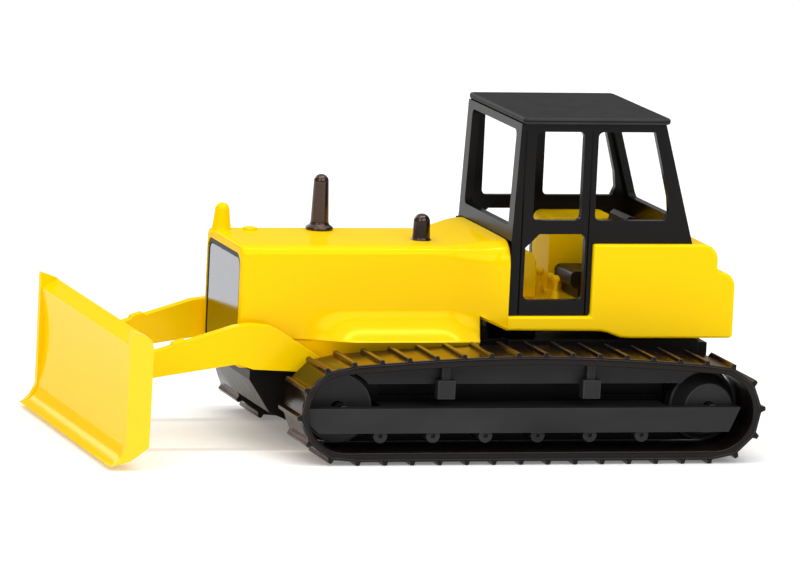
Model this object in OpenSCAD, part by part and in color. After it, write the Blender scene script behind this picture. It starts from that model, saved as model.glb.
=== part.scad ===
// Toy crawler bulldozer, about 1:87, as an assembly of moulded pieces.
// Frame: +X forwards, +Y to the driver's left, +Z up.
// Origin: on the ground, midway along the length and across the width.

/* [Tracks] */
// Distance between the centres of the idler and the sprocket
wheelbase = 47.9; // [46:0.1:49]
// Radius from an end wheel's centre to the tips of the track's ribs
track_tip_r = 6.45; // [6.2:0.05:6.7]
// Height of the rib that crosses each track pad
grouser_h = 0.45; // [0.3:0.05:0.6]
// Thickness of the track band under the pads
band_t = 1.15; // [0.9:0.05:1.3]
// Number of pads round each track
pad_count = 38; // [34:1:42]
// Rise of the upper run above a straight line
crown = 1.2; // [0.6:0.1:1.4]
// Width of each track
track_w = 8.7; // [8:0.1:9.2]
// Distance from the middle plane to the outer face of a track
track_outer = 20.4; // [20:0.1:21]

/* [Body] */
// Half the width of the engine hood
hood_hw = 8.3; // [7.8:0.1:8.5]
// Height of the top of the hood
hood_top = 25.4; // [24.5:0.1:26]
// Front face of the hood
hood_front = 22.9; // [22:0.1:24]
// Half the width of the rear body and the sills
body_hw = 11.9; // [11.6:0.1:12.2]
// Wall thickness of the moulded shell
wall = 1.2; // [0.9:0.1:1.4]

/* [Cab] */
// Half the width over the cab's side frames
cab_hw = 11.3; // [10.8:0.1:11.5]
// Height of the top of the cab's frame
cab_top = 41.35; // [40:0.05:42]
// Thickness of the roof plate
roof_t = 0.8; // [0.6:0.1:1.2]
// Thickness of the cab's frame
cab_t = 1.0; // [0.8:0.1:1.2]

/* [Blade] */
// Half the width over the blade's end plates
blade_hw = 23; // [21.5:0.1:24]
// Foremost point of the cutting edge
blade_front = 42.4; // [41.5:0.1:43]
// Height of the hinge pins of the push arms
pivot_z = 8.5; // [8:0.1:9]
// Distance of the hinge pins ahead of the origin
pivot_x = 9; // [8.5:0.1:9.5]
// Radius of the hinge pins
pivot_r = 0.9; // [0.7:0.05:1]

/* [Hidden] */
$fn = 48;

yellow = [1.0, 0.83, 0.0];
black = [0.07, 0.07, 0.075];
silver = [0.72, 0.73, 0.76];
steel = [0.6, 0.6, 0.62];

// Small amount that makes a cut run past the face it opens
over = 0.5;
// Gap between the parts of a turning fit
run_gap = 0.05;

// Tracks
rear_tip = -42.4;
sprocket_x = rear_tip + track_tip_r;
idler_x = sprocket_x + wheelbase;
wheel_z = track_tip_r;
pad_r = track_tip_r - grouser_h;
band_r = pad_r - band_t;
track_inner = track_outer - track_w;
arc_len = PI * pad_r;
loop_len = 2 * (wheelbase + arc_len);
pad_pitch = loop_len / pad_count;
pad_phase = 0.65;
rib_foot = 1.0;
rib_tip = 0.5;
wheel_r = band_r - 0.45;
axle_r = 0.8;
bar_face = track_outer - 0.8;
bar_back = bar_face - 2;
bar_bottom = 3.9;
bar_top = 7.0;
bar_front_x = idler_x + 4.75;
bar_rear_x = sprocket_x - 2.7;
panel_bottom = 9.6;
panel_face = track_outer - 3.6;
panel_back = track_inner + 0.7;
idler_face = track_inner + 4.2;
cover_t = 0.8;
cover_gap = 0.08;
wheel_back = track_inner + cover_t + 0.2;
sprocket_rim_w = 2.1;
sprocket_hub_w = 2.3;
sprocket_hub_r = 3.1;
roller_x = [for (i = [0:5]) 7.3 - 6.78 * i];
roller_r = 0.87;
roller_z = 3.5;
carrier_x = [-1.25, -20.1];
carrier_w = 2.3;

// Body
cowl_x = -4.6;
bulkhead_x = -10.8;
door_rear_x = -21.6;
sill_top = 17.2;
deck_z = 26.3;
tank_front = -34;
tank_back = -36.2;
hood_edge_r = 1.3;
hood_bottom = 10.2;
fender_rear_x = -7.5;
fender_front_x = 7.4;
fender_nose_x = 12.4;
fender_hw = 11.35;
fender_bottom = 13.6;
fender_top = 17.4;
grille_bottom = 11.0;
grille_top = 24.3;
grille_hw = 7.6;
grille_r = 1.5;
stack_at = [9.1, -5.4, 0];
intake_at = [-1.8, 2.8, 0];
peg_r = 0.65;
post_at = [hood_front - 1.2, -5.9, hood_top];

// Cab
floor_z = 18;
floor_t = 1.8;
rail_low = 27.5;
rail_high = 29.2;
window_top = 40.35;
window_r = 0.7;
door_seam_x = [-12.35, -21.05];

// Blade
blade_face = 39.9;
face_r = 34;
arm_out = 11.0;
arm_in = 9.4;

// ---- helpers ----------------------------------------------------------------

// Extrudes an outline given as [x, z] from y0 to y1
module across(y0, y1) {
    translate([0, y1, 0]) rotate([90, 0, 0]) linear_extrude(y1 - y0) children();
}

// Extrudes an outline given as [y, z] from x0 to x1
module along(x0, x1) {
    translate([x0, 0, 0]) rotate([90, 0, 90]) linear_extrude(x1 - x0) children();
}

// Cylinder across the vehicle, from y0 to y1, at [x, z]
module shaft(x, z, r, y0, y1) {
    translate([x, y0, z]) rotate([-90, 0, 0]) cylinder(r = r, h = y1 - y0);
}

// Rectangle from [x0, z0] to [x1, z1] with round corners
module pane(x0, z0, x1, z1, r) {
    translate([x0 + r, z0]) square([x1 - x0 - 2 * r, z1 - z0]);
    translate([x0, z0 + r]) square([x1 - x0, z1 - z0 - 2 * r]);
    for (x = [x0 + r, x1 - r], z = [z0 + r, z1 - r]) translate([x, z]) circle(r);
}

// Points on a quarter or longer arc about c, from angle a0 to a1
function arc(c, r, a0, a1, n) =
    [for (i = [0:n]) let (a = a0 + (a1 - a0) * i / n) c + r * [cos(a), sin(a)]];

// Makes the other side's part by reflection
module side_of(side) {
    if (side > 0) children();
    else mirror([0, 1, 0]) children();
}

// ---- body -------------------------------------------------------------------

// Cross-section of the hood and cowl: half width, top, bottom and top edge radius
module hood_section(hw, top, bottom, r) {
    polygon(concat([[hw, bottom]], arc([hw - r, top - r], r, 0, 90, 8),
                   arc([r - hw, top - r], r, 90, 180, 8), [[-hw, bottom]]));
}

// Side outline of the rear body, from the bulkhead back round the tank
module rear_outline() {
    polygon(concat([[bulkhead_x, deck_z], [-9.5, deck_z], [-7.7, 17],
                    [bulkhead_x, 15.4], [-22.9, 15.3], [-24, 15.1], [-25.6, 14.5], [-27, 14.4]],
                   arc([-40, 14.9], 0.5, -90, -180, 4),
                   arc([-38.6, 20.9], 1.9, 180, 90, 6), [[-38.25, 22.95], [-38.1, 23.3]],
                   arc([-36.05, deck_z - 2.05], 2.05, 180, 90, 8)));
}

// Concave flare of the hood's lower side, one side, as a cross-section
module flare_section(hw) {
    drop = fender_top - fender_bottom - 0.5;
    polygon(concat([[hood_hw - wall, fender_top], [hood_hw, fender_top]],
                   [for (i = [1:8]) let (a = 90 * i / 8)
                       [hood_hw + (hw - hood_hw) * (1 - cos(a)), fender_top - drop * sin(a)]],
                   [[hw, fender_bottom], [hood_hw - wall, fender_bottom]]));
}

module hood_solid() {
    along(cowl_x, hood_front) hood_section(hood_hw, hood_top, hood_bottom, hood_edge_r);
    hull() {
        along(cowl_x, cowl_x + 0.1) hood_section(hood_hw, hood_top, fender_top, hood_edge_r);
        along(bulkhead_x, bulkhead_x + 2)
            hood_section(body_hw, deck_z + 0.2, 16.5, hood_edge_r);
    }
    for (side = [-1, 1]) side_of(side) {
        along(fender_rear_x, fender_front_x) flare_section(fender_hw);
        hull() {
            along(fender_front_x - 0.1, fender_front_x) flare_section(fender_hw);
            along(fender_nose_x, fender_nose_x + 0.1) flare_section(hood_hw + 0.3);
        }
    }
}

module hood_hollow() {
    along(cowl_x, hood_front - wall)
        hood_section(hood_hw - wall, hood_top - wall, hood_bottom - over, 0.6);
    hull() {
        along(cowl_x, cowl_x + 0.1)
            hood_section(hood_hw - wall, hood_top - wall, hood_bottom, 0.6);
        along(bulkhead_x + wall, bulkhead_x + 1.4)
            hood_section(body_hw - 2 * wall, deck_z - wall, hood_bottom, 0.6);
    }
}

module rear_hollow() {
    inner = body_hw - wall;
    across(-inner, inner) {
        polygon([[tank_back, 13], [bulkhead_x, 13], [bulkhead_x, 24.9], [tank_back, 24.9]]);
        polygon([[tank_front, 13], [bulkhead_x, 13], [bulkhead_x, 30], [tank_front, 30]]);
    }
}

// Front corner post with a round top, and the radiator cap behind it
module hood_fittings() {
    translate(post_at - [0, 0, 0.3]) cylinder(r1 = 1.15, r2 = 0.9, h = 2.7);
    translate(post_at + [0, 0, 2.4]) sphere(r = 0.9);
    translate([18.2, -5.2, hood_top - 0.2]) cylinder(r = 0.95, h = 0.55);
}

module body_shell() color(yellow) {
    difference() {
        union() {
            hood_solid();
            across(-body_hw, body_hw) rear_outline();
        }
        hood_hollow();
        rear_hollow();
        // recess for the radiator insert
        along(hood_front - 0.6, hood_front + over)
            pane(-grille_hw, grille_bottom, grille_hw, grille_top, grille_r);
        // doorways, open at the top
        translate([door_rear_x, -body_hw - over, sill_top])
            cube([bulkhead_x - door_rear_x, 2 * (body_hw + over), 12]);
        // seats for the exhaust stack and the intake
        for (at = [stack_at, intake_at]) translate([at[0], at[1], hood_top - 2])
            cylinder(r = peg_r + run_gap, h = 4);
    }
    hood_fittings();
}

module exhaust_stack() color(black) translate(stack_at) {
    translate([0, 0, hood_top - 1]) cylinder(r = peg_r, h = 1.2);
    translate([0, 0, hood_top]) cylinder(r = 1.75, h = 0.45);
    translate([0, 0, hood_top + 0.45]) cylinder(r1 = 1.75, r2 = 1.25, h = 0.4);
    translate([0, 0, hood_top + 0.85]) cylinder(r1 = 1.15, r2 = 0.95, h = 5.3);
    translate([0, 0, hood_top + 6.15]) sphere(r = 0.94);
}

module air_intake() color(black) translate(intake_at) {
    translate([0, 0, hood_top - 1]) cylinder(r = peg_r, h = 1.2);
    translate([0, 0, hood_top]) cylinder(r = 1.3, h = 0.15);
    translate([0, 0, hood_top + 0.15]) cylinder(r1 = 1.12, r2 = 1.03, h = 2.2);
    intersection() {
        translate([0, 0, hood_top + 2.35]) scale(1.02) sphere(r = 1.01);
        translate([-2, -2, hood_top + 2.35]) cube(4);
    }
}

module grille_surround() color(black) {
    along(hood_front - 0.55, hood_front - 0.1) difference() {
        pane(-grille_hw + 0.05, grille_bottom + 0.05, grille_hw - 0.05, grille_top - 0.05, grille_r);
        pane(-grille_hw + 0.6, grille_bottom + 0.6, grille_hw - 0.6, grille_top - 0.6, 1.1);
    }
}

module grille_panel() color(silver) {
    along(hood_front - 0.5, hood_front - 0.15)
        pane(-grille_hw + 0.65, grille_bottom + 0.65, grille_hw - 0.65, grille_top - 0.65, 1.05);
}

// ---- chassis ----------------------------------------------------------------

chassis_hw = 8.8;
deck_top = 14;
outrigger_x = [-31.5, -3.5];
outrigger_l = 9;
outrigger_z = 7.6;
outrigger_t = 1.8;
outrigger_end = track_inner + 0.6;

module chassis() color(black) difference() {
    union() {
        // belly pan and side plates
        across(-chassis_hw, chassis_hw)
            polygon([[21.4, 10], [21.4, 8.8], [18.6, 4.6], [15.5, 3.4], [-34, 3.4],
                     [-38.2, 6.4], [-38.2, 13.4], [-27, 13.9], [-10.8, 13.9], [-5, 13.3], [-5, 10]]);
        // block that fills the hood and locates the body
        translate([-9, wall - hood_hw, 9]) cube([29.5, 2 * (hood_hw - wall), 7]);
        // rear deck under the tank, with posts that carry the cab floor
        translate([-36.5, -10.4, 12.4]) cube([25, 20.8, deck_top - 12.4]);
        for (x = [-15, -30], y = [-5, 5]) translate([x, y, deck_top])
            cylinder(r = 1.6, h = floor_z - floor_t - deck_top);
        // outriggers that the track frames sit on
        for (side = [-1, 1]) side_of(side)
            for (x = outrigger_x) translate([x, chassis_hw - over, outrigger_z])
                cube([outrigger_l, outrigger_end - chassis_hw + over, outrigger_t]);
    }
    shaft(idler_x, wheel_z, axle_r, -chassis_hw - over, chassis_hw + over);
    shaft(sprocket_x, wheel_z, axle_r, -chassis_hw - over, chassis_hw + over);
    shaft(pivot_x, pivot_z, pivot_r, -chassis_hw - over, chassis_hw + over);
}

module arm_pivot_pins() color(steel)
    for (side = [-1, 1]) side_of(side) {
        shaft(pivot_x, pivot_z, pivot_r, 4.8, arm_out + 0.2);
        shaft(pivot_x, pivot_z, pivot_r + 0.4, arm_out + 0.08, arm_out + 0.38);
    }

module idler_axle() color(steel)
    shaft(idler_x, wheel_z, axle_r, -bar_back - 1.2, bar_back + 1.2);

module sprocket_axle() color(steel)
    shaft(sprocket_x, wheel_z, axle_r, -bar_back - 1.2, bar_back + 1.2);

// ---- cab --------------------------------------------------------------------

// Front and rear edges of the cab, as x at height z, moved inwards by t
function cab_front(z, t) = (z < deck_z ? -10.95 : -10.95 - 0.65 * (z - deck_z) / 15) - t;
function cab_rear(z, t) = -34.7 + 4.2 * (z - deck_z) / (cab_top - deck_z) + t;

module cab_profile(t, low, high) {
    polygon([[cab_front(deck_z, t), deck_z], [cab_front(high, t), high],
             [cab_rear(high, t), high], [cab_rear(low, t), low],
             [cab_front(deck_z, t), low]]);
}

module door_window_low() {
    difference() {
        pane(-20.6, 19.2, -12.8, rail_low, window_r);
        translate([-12.6, 27.8]) rotate(45) square(3.2, center = true);
    }
}

module rear_side_window() {
    intersection() {
        pane(-31.6, rail_high, -21.7, window_top, window_r);
        polygon([[-21, 28], [-30.4, 28], [-31.4, 30.3], [-31.2, 32.2], [-28.7, 42], [-21, 42]]);
    }
}

module cab_frame() color(black) difference() {
    union() {
        across(-cab_hw, cab_hw) cab_profile(0, deck_z, cab_top);
        for (side = [-1, 1]) side_of(side) translate([door_rear_x + 0.05, cab_hw - cab_t, sill_top])
            cube([bulkhead_x - door_rear_x - 0.2, cab_t, deck_z - sill_top + over]);
    }
    // inside of the cab, open at the top and the bottom
    across(cab_t - cab_hw, cab_hw - cab_t) cab_profile(cab_t, deck_z - over, cab_top + over);
    // windscreen and rear window
    along(-14, -10) pane(2 * cab_t - cab_hw, rail_high - 0.9, cab_hw - 2 * cab_t, window_top, window_r);
    along(-36, -28) pane(2 * cab_t - cab_hw, rail_high, cab_hw - 2 * cab_t, window_top, window_r);
    // side windows, through both sides
    across(-cab_hw - over, cab_hw + over) pane(-19.9, rail_high, -13.6, window_top, window_r);
    across(-cab_hw - over, cab_hw + over) door_window_low();
    across(-cab_hw - over, cab_hw + over) rear_side_window();
    // moulded seams either side of the door
    for (side = [-1, 1]) side_of(side) for (x = door_seam_x)
        translate([x, cab_hw - 0.15, sill_top - over]) cube([0.2, 1, cab_top - sill_top - 0.4]);
}

module cab_roof() color(black) translate([0, 0, cab_top])
    linear_extrude(roof_t) pane(-31, -12, -11.7, 12, 0.8);

// ---- inside the cab ---------------------------------------------------------

inner_hw = cab_hw - cab_t - 0.1;
interior_back = tank_front + 0.1;

module cab_interior() color(yellow) {
    // floor, with a ledge between the sills
    translate([interior_back, -inner_hw, floor_z - 1])
        cube([bulkhead_x - interior_back, 2 * inner_hw, 1]);
    translate([interior_back, wall - body_hw, floor_z - floor_t])
        cube([bulkhead_x - interior_back, 2 * (body_hw - wall), floor_t - 0.9]);
    // console on the driver's right
    across(-inner_hw, -3.2) union() {
        pane(-30, floor_z - 0.5, -20.6, 27.4, 0.9);
        translate([-30, floor_z - 0.5]) square([9.4, 4]);
    }
    // low console on the driver's left
    across(4.6, inner_hw) pane(-30, floor_z - 0.5, -23, 23.6, 0.8);
    // shelf behind the seat
    translate([interior_back, -inner_hw, floor_z - 0.5]) cube([3.7, 2 * inner_hw, 8.2]);
}

module control_console() color(yellow) {
    across(-2.2, 2.2) polygon([[-15, floor_z], [-17.4, floor_z], [-17.4, 22.6], [-16.6, 23.8],
                               [-15.6, 23.9], [-15, 23.2]]);
}

module control_levers() color(yellow)
    for (y = [-2.2, 2.6, 4.4]) translate([-19.2, y, floor_z]) {
        cylinder(r1 = 0.75, r2 = 0.4, h = 1.2);
        translate([0, 0, 1.1]) cylinder(r = 0.32, h = 1.5);
        translate([0, 0, 2.7]) sphere(r = 0.55);
    }

module seat() color(black) {
    across(-2.8, 3.8) {
        pane(-28.2, floor_z, -22.4, 19.6, 0.4);
        pane(-28.4, 19.5, -21.4, 21.6, 0.7);
        polygon([[-26.9, 20.8], [-28.3, 28.2], [-28.8, 28.6], [-29.5, 28.4], [-29.7, 27.8],
                 [-29.4, 20.8], [-28.8, 19.9], [-27.4, 19.9]]);
    }
}

// ---- running gear -----------------------------------------------------------

// Point on the track at distance s along the loop and r from its centre line
function track_point(s0, r) =
    let (s = s0 % loop_len,
         front = wheelbase, upper = front + arc_len, rear = upper + wheelbase)
    s < front ? [sprocket_x + s, wheel_z - r] :
    s < upper ? let (a = (s - front) / arc_len * 180 - 90)
        [idler_x + r * cos(a), wheel_z + r * sin(a)] :
    s < rear ? let (u = s - upper)
        [idler_x - u, wheel_z + r + crown * sin(180 * u / wheelbase)] :
    let (a = 90 + (s - rear) / arc_len * 180)
        [sprocket_x + r * cos(a), wheel_z + r * sin(a)];

track_outside = [for (i = [0:pad_count - 1]) let (s = loop_len + pad_phase + pad_pitch * i)
    each [track_point(s - rib_foot / 2, pad_r), track_point(s - rib_tip / 2, track_tip_r),
          track_point(s + rib_tip / 2, track_tip_r), track_point(s + rib_foot / 2, pad_r)]];

band_steps = 3 * pad_count;
track_inside = [for (i = [0:band_steps - 1]) track_point(loop_len * i / band_steps, band_r)];

cover_outline = [for (i = [0:band_steps - 1])
    track_point(loop_len * i / band_steps, band_r - cover_gap)];

module track_belt(side) color(black) side_of(side)
    across(track_inner, track_outer) difference() {
        polygon(track_outside);
        polygon(track_inside);
    }

// Side panel between the wheels, under the upper run
module panel_outline() {
    steps = 16;
    front = idler_x - 1.2;
    rear = sprocket_x + 1.2;
    difference() {
        polygon(concat([[rear + 1, panel_bottom], [front - 1, panel_bottom]],
                       [for (i = [0:steps]) let (x = front + (rear - front) * i / steps)
                           [x, wheel_z + band_r - 0.25
                               + crown * sin(180 * (idler_x - x) / wheelbase)]]));
        translate([idler_x, wheel_z]) circle(wheel_r + 0.4);
        translate([sprocket_x, wheel_z]) circle(wheel_r + 0.4);
    }
}

module track_frame(side) color(black) side_of(side) difference() {
    union() {
        // outer bar
        across(bar_back, bar_face)
            polygon([[bar_front_x, bar_bottom + 1.2], [bar_front_x, bar_top], [bar_rear_x - 0.7, bar_top],
                     [bar_rear_x + 0.7, bar_bottom], [bar_front_x - 1.4, bar_bottom]]);
        // beam behind the bar
        across(panel_back, bar_back + over)
            polygon([[6.4, bar_bottom], [6.4, 6.8], [-30.5, 6.8], [-30.5, bar_bottom]]);
        // upper panel
        across(panel_back, panel_face) panel_outline();
        // inner cover that fills the loop behind the wheels
        across(track_inner, track_inner + cover_t) polygon(cover_outline);
    }
    shaft(idler_x, wheel_z, axle_r, track_inner - over, bar_back + 1.25);
    shaft(sprocket_x, wheel_z, axle_r, track_inner - over, bar_back + 1.25);
    // seats for the outriggers of the chassis
    for (x = outrigger_x) translate([x - 0.1, track_inner, outrigger_z - 0.1])
        cube([outrigger_l + 0.2, 1.3, outrigger_t + 0.2]);
}

module track_rollers(side) color(black) side_of(side)
    for (x = roller_x) difference() {
        shaft(x, roller_z, roller_r, track_inner + 1.5, bar_face - 0.3);
        shaft(x, roller_z, 0.3, bar_face - 0.8, bar_face);
        translate([x - 2, track_inner, bar_bottom]) cube([4, 10, 4]);
    }

module carrier_brackets(side) color(black) side_of(side)
    for (x = carrier_x) {
        translate([x - carrier_w / 2, panel_face + 0.02, 7.9]) cube([carrier_w, 1.6, 2.4]);
        translate([x - 0.55, panel_face + 0.02, 10.2])
            cube([1.1, 1.1, wheel_z + band_r + crown * sin(180 * (idler_x - x) / wheelbase) - 10.3]);
    }

module idler(side) color(black) side_of(side) difference() {
    shaft(idler_x, wheel_z, wheel_r, wheel_back, idler_face);
    shaft(idler_x, wheel_z, axle_r + run_gap, track_inner, idler_face + 1);
}

module sprocket(side) color(black) side_of(side)
    translate([sprocket_x, wheel_back, wheel_z]) rotate([-90, 0, 0]) difference() {
        union() {
            cylinder(r = wheel_r, h = sprocket_rim_w);
            translate([0, 0, sprocket_rim_w])
                cylinder(r1 = wheel_r - 0.25, r2 = sprocket_hub_r, h = sprocket_hub_w);
        }
        translate([0, 0, -1]) cylinder(r = axle_r + run_gap, h = 8);
    }

// ---- blade ------------------------------------------------------------------

// Side outline of the curved board, with its cutting edge and top chamfer
module board_outline() {
    polygon(concat([[blade_front, 0.6]], arc([blade_front + 0.9, 3.5], 2.9, 258, 192, 5),
                   arc([blade_face + face_r, 9.1], face_r, 190.2, 169.3, 10),
                   [[38.4, 16.5], [38, 15.9], [38, 3.6], [38.4, 2.4], [40, 1.2]]));
}

module end_plate_outline() {
    polygon([[blade_front, 0.6], [40, 1.2], [37.7, 2.9], [37.6, 15.2], [37.9, 16.2], [38.6, 16.7],
             [blade_face + 0.7, 17.35], [blade_face + 0.7, 3], [41.2, 1.7], [blade_front - 0.3, 0.8]]);
}

module blade() color(yellow) {
    across(-blade_hw + over, blade_hw - over) board_outline();
    for (side = [-1, 1]) side_of(side) {
        across(blade_hw - 1.1, blade_hw) end_plate_outline();
        // socket that the push arm's end is set into
        difference() {
            across(arm_in - 0.9, arm_out + 0.9)
                polygon([[38.6, 7.6], [36.9, 7.9], [36.9, 12.9], [38.6, 13.2]]);
            across(arm_in, arm_out) polygon([[37.7, 8.9], [36, 8.62], [36, 12.13], [37.7, 11.6]]);
        }
    }
}

module push_arm(side) color(yellow) side_of(side) difference() {
    union() {
        across(arm_in, arm_out) {
            polygon([[37.7, 8.9], [37.7, 11.6], [32, 13.35], [31.8, 13.75], [30.4, 14.2],
                     [30.1, 13.95], [24, 15.85], [22, 16.1], [19.6, 15.9], [18.3, 15.3],
                     [13.9, 12.5], [10.4, 10.1], [10.4, 7.25], [14.5, 10.1], [21.6, 10.45],
                     [23.6, 11.1]]);
            translate([pivot_x, pivot_z]) circle(2.0);
        }
    }
    shaft(pivot_x, pivot_z, pivot_r + run_gap, arm_in - 1, arm_out + 1);
}

// ---- assembly ---------------------------------------------------------------

body_shell();
chassis();
cab_interior();
control_console();
control_levers();
seat();
cab_frame();
cab_roof();
exhaust_stack();
air_intake();
grille_surround();
grille_panel();
arm_pivot_pins();
idler_axle();
sprocket_axle();
track_frame(1);  // track_frame_left
track_frame(-1);  // track_frame_right
track_rollers(1);  // track_rollers_left
track_rollers(-1);  // track_rollers_right
carrier_brackets(1);  // carrier_brackets_left
carrier_brackets(-1);  // carrier_brackets_right
track_belt(1);  // track_belt_left
track_belt(-1);  // track_belt_right
idler(1);  // idler_left
idler(-1);  // idler_right
sprocket(1);  // sprocket_left
sprocket(-1);  // sprocket_right
blade();
push_arm(1);  // push_arm_left
push_arm(-1);  // push_arm_right
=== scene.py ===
"""Looks of a small toy crawler bulldozer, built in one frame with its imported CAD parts.

Each sub-assembly is a class: its fields are its sizes, and its methods build its meshes and dress
them. Each finish is a frozen dataclass that makes one procedural material. Everything is in metres,
with +X forwards, +Y to the driver's left and +Z up, and sizes are written in millimetres times MM.
"""

import logging
import math
from collections.abc import Callable, Sequence
from dataclasses import dataclass
from enum import Enum
from functools import cache

import bmesh
import bpy
from mathutils import Matrix, Vector


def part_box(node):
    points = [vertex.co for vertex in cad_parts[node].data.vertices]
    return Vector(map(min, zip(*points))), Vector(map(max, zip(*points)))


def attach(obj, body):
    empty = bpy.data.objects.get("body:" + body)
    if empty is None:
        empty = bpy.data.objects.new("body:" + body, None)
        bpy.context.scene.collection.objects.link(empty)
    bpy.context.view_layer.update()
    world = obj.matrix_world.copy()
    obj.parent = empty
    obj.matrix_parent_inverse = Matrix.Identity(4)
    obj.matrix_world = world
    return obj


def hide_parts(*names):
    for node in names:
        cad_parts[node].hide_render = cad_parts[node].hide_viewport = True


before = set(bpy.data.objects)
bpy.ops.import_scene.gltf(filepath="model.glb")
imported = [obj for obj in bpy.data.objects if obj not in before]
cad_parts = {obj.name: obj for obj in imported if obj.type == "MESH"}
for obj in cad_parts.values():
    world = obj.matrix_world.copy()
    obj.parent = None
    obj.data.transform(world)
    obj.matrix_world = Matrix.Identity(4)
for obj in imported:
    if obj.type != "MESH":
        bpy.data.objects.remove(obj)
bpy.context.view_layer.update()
MM = 0.001
log = logging.getLogger("bulldozer")

TOUCH = 0.01 * MM
FLAT_ANGLE = math.radians(0.6)
SHARP_EDGE = 30.0
HARD_EDGE = 42.0
HARD_EDGE_ROUND = 60.0
FACE_WEIGHT = 60

Point = tuple[float, float]
Colour = tuple[float, float, float]
Place = tuple[float, float, float]
EdgeTest = Callable[[bmesh.types.BMEdge], bool]


class Side(Enum):
    """A side of the vehicle, with the sign of its Y."""

    LEFT = 1
    RIGHT = -1

    @property
    def word(self) -> str:
        """The word that ends this side's names."""
        return self.name.lower()


class Body(Enum):
    """The rigid bodies that a piece can ride on."""

    ROOT = "root"
    BLADE = "blade_unit"
    IDLER_LEFT = "idler_l"
    IDLER_RIGHT = "idler_r"
    SPROCKET_LEFT = "sprocket_l"
    SPROCKET_RIGHT = "sprocket_r"


# ---- node trees -------------------------------------------------------------


class Signal:
    """A shader value with arithmetic. Each operation adds one Math node."""

    def __init__(self, graph: "Graph", socket: bpy.types.NodeSocket) -> None:
        """Wraps an output socket of a graph."""
        self.graph = graph
        self.socket = socket

    def _math(self, operation: str, first: object, second: object) -> "Signal":
        """The result of one added Math node."""
        return Signal(self.graph, self.graph.node(
            "ShaderNodeMath", {"operation": operation}, {0: first, 1: second}).outputs[0])

    def __add__(self, other: object) -> "Signal":
        """Sum."""
        return self._math("ADD", self, other)

    def __radd__(self, other: object) -> "Signal":
        """Sum, with the value on the right."""
        return self._math("ADD", other, self)

    def __sub__(self, other: object) -> "Signal":
        """Difference."""
        return self._math("SUBTRACT", self, other)

    def __rsub__(self, other: object) -> "Signal":
        """Difference, with the value on the right."""
        return self._math("SUBTRACT", other, self)

    def __mul__(self, other: object) -> "Signal":
        """Product."""
        return self._math("MULTIPLY", self, other)

    def __rmul__(self, other: object) -> "Signal":
        """Product, with the value on the right."""
        return self._math("MULTIPLY", other, self)

    def clamped(self, low: float, high: float) -> "Signal":
        """The value held between two limits."""
        return self._math("MINIMUM", self._math("MAXIMUM", self, low), high)

    def contrast(self, gain: float) -> "Signal":
        """The value with its distance from 0.5 multiplied, held between 0 and 1."""
        return (self * gain - (gain - 1) / 2).clamped(0.0, 1.0)


class Nodes:
    """A node tree, with one way to add any node."""

    tree: bpy.types.NodeTree

    def node(self, kind: str, settings: dict[str, object], inputs: dict) -> bpy.types.Node:
        """Adds a node, sets it up, then fills or links its sockets.

        Args:
            kind: The node's type.
            settings: Its properties, set first.
            inputs: Values or links, by socket name or number.

        Returns:
            The node.
        """
        made = self.tree.nodes.new(kind)
        for key, value in settings.items():
            setattr(made, key, value)
        for key, value in inputs.items():
            if isinstance(value, Signal):
                value = value.socket
            if isinstance(value, bpy.types.NodeSocket):
                self.tree.links.new(value, made.inputs[key])
            else:
                made.inputs[key].default_value = value
        return made


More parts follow.
